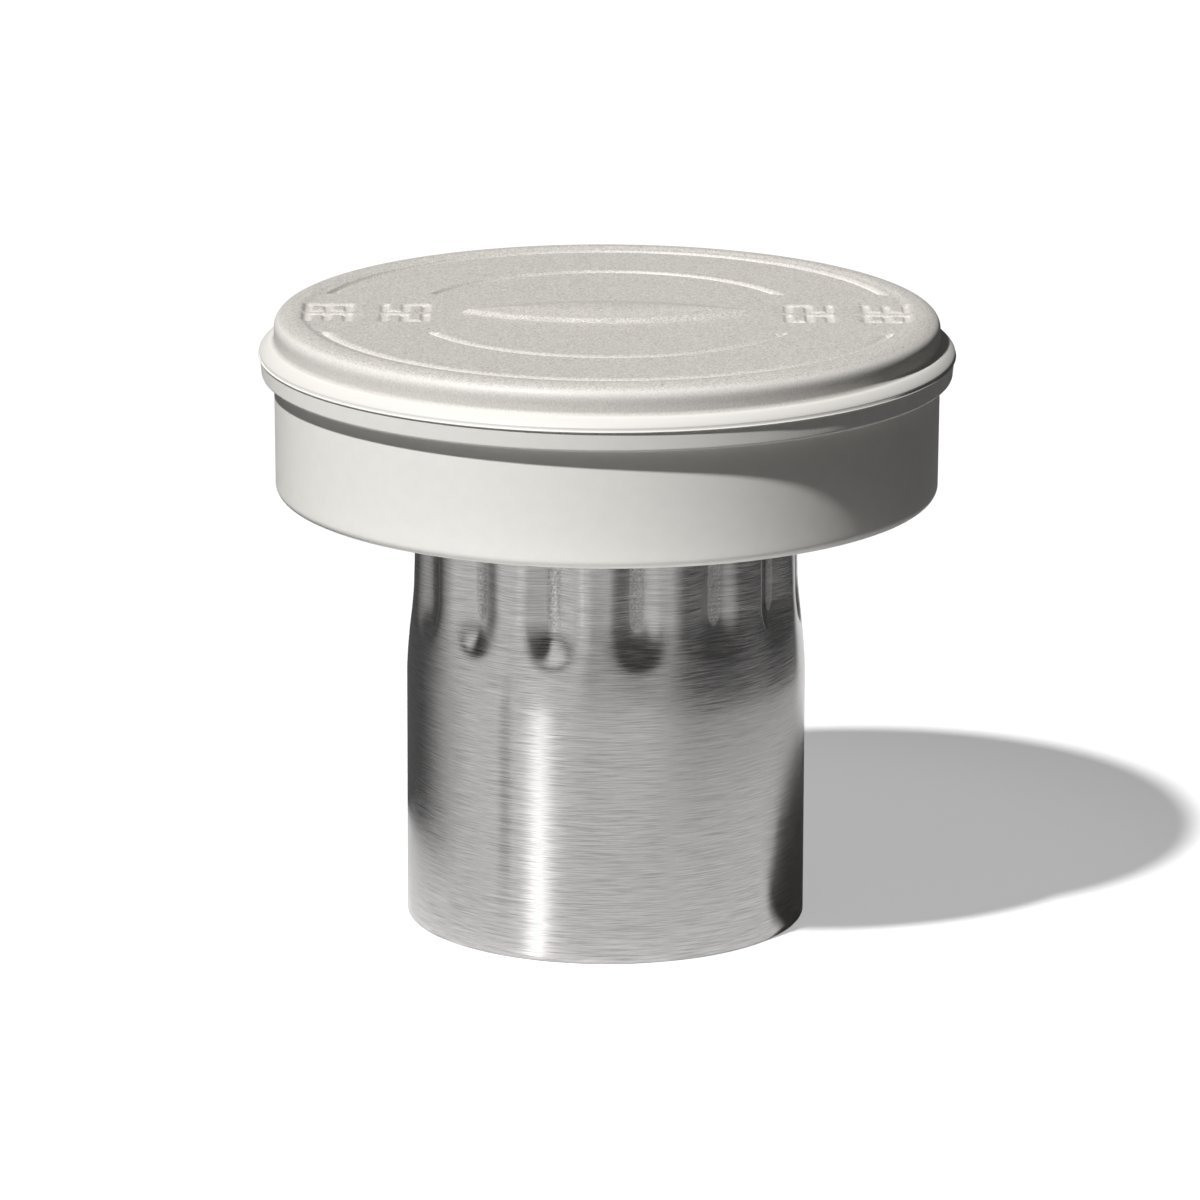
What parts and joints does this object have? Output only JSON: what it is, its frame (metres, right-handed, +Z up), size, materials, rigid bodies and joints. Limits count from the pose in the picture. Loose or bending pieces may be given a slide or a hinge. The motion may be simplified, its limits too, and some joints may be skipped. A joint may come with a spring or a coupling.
{
  "type": "double-sided cookie cutter",
  "caption": "Round pastry cutter: a steel tube with a plain rim and a fluted rim, and a moulded press cover that lifts off.",
  "frame": {"origin": "centre of the plain rim, on the surface the cutter stands on", "axes": "+Z up along the tube's axis, towards the press face; the front of the picture's view is -Y"},
  "size_m": [0.0441, 0.044, 0.0395],
  "materials": {
    "steel": "brushed round the tube",
    "shell": "smooth satin",
    "pad": "fine grain"
  },
  "bodies": {
    "cutter": {"cutter_tube": "steel"},
    "cover": {"cover_shell": "shell", "cover_pad": "pad"}
  },
  "joints": [
    {"name": "cover_lift", "type": "slide", "parent": "cutter", "child": "cover", "axis": [0, 0, 1], "range_m": [0, 0.02]}
  ]
}
